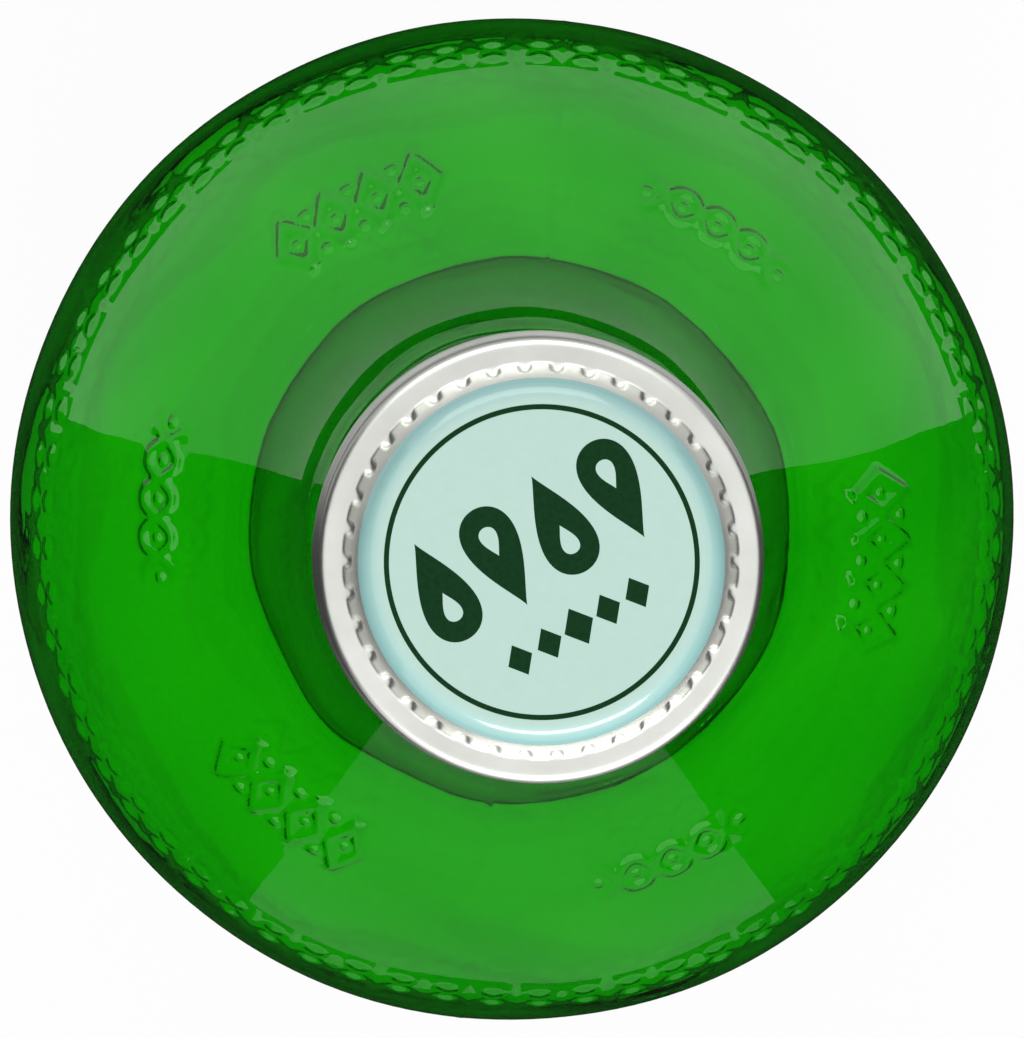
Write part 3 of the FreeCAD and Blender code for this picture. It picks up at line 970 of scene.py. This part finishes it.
# %% Printing ink
printing_ink, tree = new_material("dark_green_offset_ink")
place = add(tree, "ShaderNodeTexCoord").outputs["Object"]
mottle = add(tree, "ShaderNodeTexNoise", {"Vector": place, "Scale": 3000.0, "Detail": 3.0})
ink_colour = ramp_between(tree, mottle.outputs["Fac"], (
    (0.3, paint("#062E13")), (0.7, paint("#0B3819"))))
ink = add(tree, "ShaderNodeBsdfPrincipled", {
    "Base Color": ink_colour, "Roughness": 0.55, "Specular IOR Level": 0.1})
add(tree, "ShaderNodeOutputMaterial", {"Surface": ink.outputs[0]})
cap_print.data.materials.append(printing_ink)
print("ink:", printing_ink.name)

# %% [markdown]
# ## The table
# The bottle stands on a plain white table. The camera, mirrored light and light through the
# glass see it as white, and a small part of what the camera sees is the lit surface, so that
# the bottle's soft shadow stays on it.

# %% Table
bpy.ops.mesh.primitive_plane_add(size=8)
table = bpy.context.object
table.name = "table"
table_white, tree = new_material("table_white")
rays = add(tree, "ShaderNodeLightPath")
lit = add(tree, "ShaderNodeBsdfDiffuse", {"Color": paint("#F4F4F4")})
white = add(tree, "ShaderNodeEmission", {"Color": (1, 1, 1, 1), "Strength": 1.0})
seen = add(tree, "ShaderNodeMath", {
    0: rays.outputs["Is Camera Ray"], 1: rays.outputs["Is Glossy Ray"]}, operation="MAXIMUM")
mostly = add(tree, "ShaderNodeMath", {0: seen.outputs[0], 1: 0.94}, operation="MULTIPLY")
through = add(tree, "ShaderNodeMath", {
    0: mostly.outputs[0], 1: rays.outputs["Is Transmission Ray"]}, operation="MAXIMUM")
table_mix = add(tree, "ShaderNodeMixShader", {
    0: through.outputs[0], 1: lit.outputs[0], 2: white.outputs[0]})
add(tree, "ShaderNodeOutputMaterial", {"Surface": table_mix.outputs[0]})
table.data.materials.append(table_white)
print("table:", table_white.name)

# %% World
world = bpy.data.worlds.new("studio")
bpy.context.scene.world = world
world.use_nodes = True
tree = world.node_tree
tree.nodes.clear()
rays = add(tree, "ShaderNodeLightPath")
mirrored = add(tree, "ShaderNodeMath", {
    0: rays.outputs["Is Glossy Ray"], 1: 0.75}, operation="MULTIPLY")
seen = add(tree, "ShaderNodeMath", {
    0: rays.outputs["Is Camera Ray"], 1: rays.outputs["Is Transmission Ray"]},
    operation="MAXIMUM")
seen = add(tree, "ShaderNodeMath", {0: seen.outputs[0], 1: mirrored.outputs[0]},
           operation="MAXIMUM")
soft_light = add(tree, "ShaderNodeBackground", {"Color": (1, 1, 1, 1), "Strength": 0.45})
backdrop = add(tree, "ShaderNodeBackground", {"Color": (1, 1, 1, 1), "Strength": 1.0})
world_mix = add(tree, "ShaderNodeMixShader", {
    0: seen.outputs[0], 1: soft_light.outputs[0], 2: backdrop.outputs[0]})
add(tree, "ShaderNodeOutputWorld", {"Surface": world_mix.outputs[0]})
print("world:", world.name)

# %% [markdown]
# ## Cloth, cards and lamps
# Green glass goes milky when it mirrors a white table all round. A still-life studio lays
# black velvet round the bottle and a plain grey card behind and in front of it, so that only
# two wedges of the shoulder shine, and stands a black flag on the left and on the right. Each
# has one even matt grey, lit by the same lamps as the bottle. The bottle mirrors them. The
# camera, and light that passes through the glass, see the white table instead.

# %% Cloth and cards
def matt(name, grey):
    """An even matt card or cloth."""
    material, tree = new_material(name)
    even = add(tree, "ShaderNodeBsdfDiffuse", {"Color": paint(grey)})
    add(tree, "ShaderNodeOutputMaterial", {"Surface": even.outputs[0]})
    return material


def only_mirrored(obj, material):
    """A stage piece that only mirrored light sees."""
    obj.visible_camera = False
    obj.visible_diffuse = False
    obj.visible_transmission = False
    obj.visible_shadow = False
    obj.data.materials.append(material)


def card_on_table(name, start, stop, inner, outer, lift, material):
    """A flat sector of card round the bottle, from start to stop degrees."""
    steps = 90
    around = np.radians(np.linspace(start, stop, steps + 1))
    points = [(MM * radius * math.cos(angle), MM * radius * math.sin(angle), MM * lift)
              for radius in (inner, outer) for angle in around]
    faces = [(k, k + 1, k + steps + 2, k + steps + 1) for k in range(steps)]
    mesh = bpy.data.meshes.new(name)
    mesh.from_pydata(points, [], faces)
    card = bpy.data.objects.new(name, mesh)
    bpy.context.scene.collection.objects.link(card)
    only_mirrored(card, material)


black_velvet = matt("black_velvet", "#1C1C1C")
card_on_table("velvet_cloth", -180, 180, 42, 1500, 2, black_velvet)
card_on_table("card_behind", 12, 168, 150, 1500, 3, matt("grey_card", "#B4B4B4"))
card_on_table("card_in_front", -124, -56, 150, 1500, 3, matt("dark_grey_card", "#787878"))

# %% Upright flags
for side in (-1, 1):
    bpy.ops.mesh.primitive_grid_add(x_subdivisions=2, y_subdivisions=2, size=1)
    flag = bpy.context.object
    flag.name = "flag_left" if side < 0 else "flag_right"
    flag.scale = (0.3, 0.5, 1)
    flag.rotation_euler = (0, math.radians(90), 0)
    flag.location = (0.3 * side, 0, 0.33)
    only_mirrored(flag, black_velvet)
print("cloth, two cards and two flags round the bottle")

# %% Lamps
def softbox(name, place, aim, wide, high, power):
    lamp = bpy.data.lights.new(name, "AREA")
    lamp.shape = "RECTANGLE"
    lamp.size = wide
    lamp.size_y = high
    lamp.energy = power
    box = bpy.data.objects.new(name, lamp)
    bpy.context.scene.collection.objects.link(box)
    box.location = place
    box.rotation_euler = (Vector(aim) - Vector(place)).to_track_quat("-Z", "Y").to_euler()
    box.visible_camera = False
    box.visible_transmission = False


softbox("softbox_front", (0.12, -0.75, 0.82), (0, 0, 0.2), 0.8, 0.22, 7)
softbox("softbox_back", (-0.1, 0.8, 0.75), (0, 0, 0.2), 0.9, 0.5, 3.5)
print("lamps: two softboxes")

# %% [markdown]
# ## Camera
# The camera looks almost straight down on the cap, a little from the back and the left, from
# close enough that the cap looks large against the body.

# %% Camera
look_at = Vector((0, 0, shoulder_foot * MM))
distance = 0.85
lean_left = math.radians(0.92)
lean_back = math.radians(1.33)
way = Vector((-math.tan(lean_left), math.tan(lean_back), 1)).normalized()
across = (Vector((1, 0, 0)) - way * way.x).normalized()
upward = way.cross(across)
lens = bpy.data.cameras.new("camera")
camera = bpy.data.objects.new("camera", lens)
bpy.context.scene.collection.objects.link(camera)
turned = Matrix((across, upward, way)).transposed().to_4x4()
camera.matrix_world = Matrix.Translation(look_at + way * distance) @ turned
lens.sensor_width = 36
lens.lens = 410.0
lens.clip_start = 0.01
lens.clip_end = 100
scene = bpy.context.scene
scene.camera = camera
scene.view_settings.view_transform = "Standard"
scene.cycles.max_bounces = 32
scene.cycles.transmission_bounces = 32
scene.cycles.glossy_bounces = 12
print("camera at", [round(part, 3) for part in camera.location])
